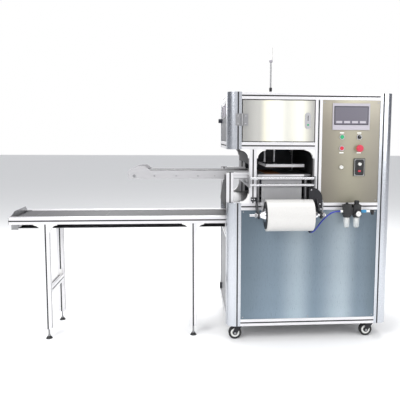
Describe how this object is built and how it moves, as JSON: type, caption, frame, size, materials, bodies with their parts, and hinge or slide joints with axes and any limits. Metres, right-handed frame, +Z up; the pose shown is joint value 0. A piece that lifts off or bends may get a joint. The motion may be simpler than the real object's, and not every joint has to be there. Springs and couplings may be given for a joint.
{
  "type": "film wrapping machine",
  "caption": "Film wrapping machine in an aluminium-bar cabinet on casters, with film roll, hood, control panel, short feed belt and long take-away belt on legs.",
  "frame": {"origin": "on the floor under the middle of the whole machine with both conveyors", "axes": "+X to the right as seen from the control side, +Y from the control side to the back, +Z up"},
  "size_m": [2.167, 0.851, 1.718],
  "materials": {
    "aluminium": "anodised, fine grain",
    "stainless": "brushed",
    "control_plate": "brushed",
    "dark_panel": "satin powder coat",
    "dark_lining": "matt powder coat",
    "cast_white": "cast, light grey coat",
    "black_metal": "black coat",
    "bright_steel": "polished",
    "plain_steel": "machined",
    "belt": "matt",
    "film": "wound clear film",
    "clear_film": "clear film",
    "black_plastic": "fine texture",
    "grey_plastic": "moulded",
    "white_plastic": "moulded",
    "green_plastic": "moulded",
    "red_plastic": "moulded",
    "blue_plastic": "moulded",
    "blue_hose": "polyurethane tube",
    "wheel_rubber": "solid tread"
  },
  "bodies": {
    "cabinet": {"corner_posts": "aluminium", "inner_posts": "aluminium", "long_rails": "aluminium", "side_rails": "aluminium", "frame_brackets": "cast_white", "guide_plates": "plain_steel", "lower_front_panel": "stainless", "control_panel": "control_plate", "left_panel": "dark_panel", "outer_panels": "dark_panel", "floor_plates": "stainless", "work_zone_walls": "dark_lining", "hood_side_panel": "dark_panel", "hinge_fixed": "plain_steel", "touch_screen": "grey_plastic", "button_bezels": "bright_steel", "speed_controller": "black_plastic", "roll_arms": "black_metal", "film_web": "clear_film", "sealing_frame": "plain_steel", "air_regulator": "black_plastic", "hand_valve": "blue_plastic", "air_hose": "blue_hose", "hose_gland": "black_plastic", "lamp_mast": "grey_plastic", "upper_conveyor_plates": "aluminium", "conveyor_belts": "belt", "belt_rollers": "plain_steel", "conveyor_stand": "aluminium", "lower_conveyor_rails": "aluminium", "lower_conveyor_plates": "plain_steel", "conveyor_legs": "aluminium", "levelling_feet": "black_plastic", "caster_plates": "plain_steel"},
    "hood_door": {"hood_door": "stainless", "hinge_leaf": "plain_steel", "door_lock": "bright_steel"},
    "film_roll": {"film_roll": "film", "roll_shaft": "bright_steel", "roll_flanges": "black_plastic"},
    "guide_roller_upper": {"guide_roller_upper": "bright_steel"},
    "guide_roller_lower": {"guide_roller_lower": "bright_steel"},
    "sealing_head": {"sealing_head": "aluminium"},
    "start_button": {"start_button": "green_plastic"},
    "stop_button": {"stop_button": "red_plastic"},
    "emergency_stop": {"emergency_stop": "red_plastic"},
    "selector_knob": {"selector_knob": "black_plastic"},
    "timer_knob": {"timer_knob": "white_plastic"},
    "speed_knob": {"speed_knob": "white_plastic"},
    "regulator_knob": {"regulator_knob": "black_plastic"},
    "caster_fork_fl": {"caster_fork_fl": "black_metal"},
    "caster_wheel_fl": {"caster_wheel_fl": "wheel_rubber"},
    "caster_fork_fr": {"caster_fork_fr": "black_metal"},
    "caster_wheel_fr": {"caster_wheel_fr": "wheel_rubber"},
    "caster_fork_rl": {"caster_fork_rl": "black_metal"},
    "caster_wheel_rl": {"caster_wheel_rl": "wheel_rubber"},
    "caster_fork_rr": {"caster_fork_rr": "black_metal"},
    "caster_wheel_rr": {"caster_wheel_rr": "wheel_rubber"}
  },
  "joints": [
    {"name": "hood_door_hinge", "type": "hinge", "parent": "cabinet", "child": "hood_door", "pos_m": [0.2235, -0.2415, 1.268], "axis": [0, 0, -1], "range_deg": [0, 110]},
    {"name": "film_roll_spin", "type": "hinge", "parent": "cabinet", "child": "film_roll", "pos_m": [0.3465, -0.3395, 0.752], "axis": [1, 0, 0], "continuous": true},
    {"name": "guide_roller_upper_spin", "type": "hinge", "parent": "cabinet", "child": "guide_roller_upper", "pos_m": [0.6345, -0.2645, 0.946], "axis": [1, 0, 0], "continuous": true},
    {"name": "guide_roller_lower_spin", "type": "hinge", "parent": "cabinet", "child": "guide_roller_lower", "pos_m": [0.6345, -0.2645, 0.909], "axis": [1, 0, 0], "continuous": true},
    {"name": "sealing_head_slide", "type": "slide", "parent": "cabinet", "child": "sealing_head", "axis": [0, 0, -1], "range_m": [0, 0.033]},
    {"name": "start_button_press", "type": "slide", "parent": "cabinet", "child": "start_button", "axis": [0, 1, 0], "range_m": [0, 0.003], "stiffness_N_per_m": 400},
    {"name": "stop_button_press", "type": "slide", "parent": "cabinet", "child": "stop_button", "axis": [0, 1, 0], "range_m": [0, 0.003], "stiffness_N_per_m": 400},
    {"name": "emergency_stop_press", "type": "slide", "parent": "cabinet", "child": "emergency_stop", "axis": [0, 1, 0], "range_m": [0, 0.005], "stiffness_N_per_m": 600},
    {"name": "selector_turn", "type": "hinge", "parent": "cabinet", "child": "selector_knob", "pos_m": [0.8865, -0.2345, 1.176], "axis": [0, 1, 0], "range_deg": [-45, 45]},
    {"name": "timer_knob_turn", "type": "hinge", "parent": "cabinet", "child": "timer_knob", "pos_m": [0.7875, -0.2345, 1.007], "axis": [0, 1, 0], "range_deg": [-150, 150]},
    {"name": "speed_knob_turn", "type": "hinge", "parent": "cabinet", "child": "speed_knob", "pos_m": [0.8905, -0.2345, 1.025], "axis": [0, 1, 0], "range_deg": [-140, 140]},
    {"name": "regulator_knob_turn", "type": "hinge", "parent": "cabinet", "child": "regulator_knob", "pos_m": [0.8645, -0.2895, 0.806], "axis": [0, 0, 1], "range_deg": [-170, 170]},
    {"name": "caster_swivel_fl", "type": "hinge", "parent": "cabinet", "child": "caster_fork_fl", "pos_m": [0.2235, -0.1685, 0.095], "axis": [0, 0, 1], "continuous": true},
    {"name": "caster_roll_fl", "type": "hinge", "parent": "caster_fork_fl", "child": "caster_wheel_fl", "pos_m": [0.1975, -0.1685, 0.0375], "axis": [0, 1, 0], "continuous": true},
    {"name": "caster_swivel_fr", "type": "hinge", "parent": "cabinet", "child": "caster_fork_fr", "pos_m": [1.0035, -0.1685, 0.095], "axis": [0, 0, 1], "continuous": true},
    {"name": "caster_roll_fr", "type": "hinge", "parent": "caster_fork_fr", "child": "caster_wheel_fr", "pos_m": [0.9775, -0.1685, 0.0375], "axis": [0, 1, 0], "continuous": true},
    {"name": "caster_swivel_rl", "type": "hinge", "parent": "cabinet", "child": "caster_fork_rl", "pos_m": [0.2235, 0.3595, 0.095], "axis": [0, 0, 1], "continuous": true},
    {"name": "caster_roll_rl", "type": "hinge", "parent": "caster_fork_rl", "child": "caster_wheel_rl", "pos_m": [0.1975, 0.3595, 0.0375], "axis": [0, 1, 0], "continuous": true},
    {"name": "caster_swivel_rr", "type": "hinge", "parent": "cabinet", "child": "caster_fork_rr", "pos_m": [1.0035, 0.3595, 0.095], "axis": [0, 0, 1], "continuous": true},
    {"name": "caster_roll_rr", "type": "hinge", "parent": "caster_fork_rr", "child": "caster_wheel_rr", "pos_m": [0.9775, 0.3595, 0.0375], "axis": [0, 1, 0], "continuous": true}
  ]
}
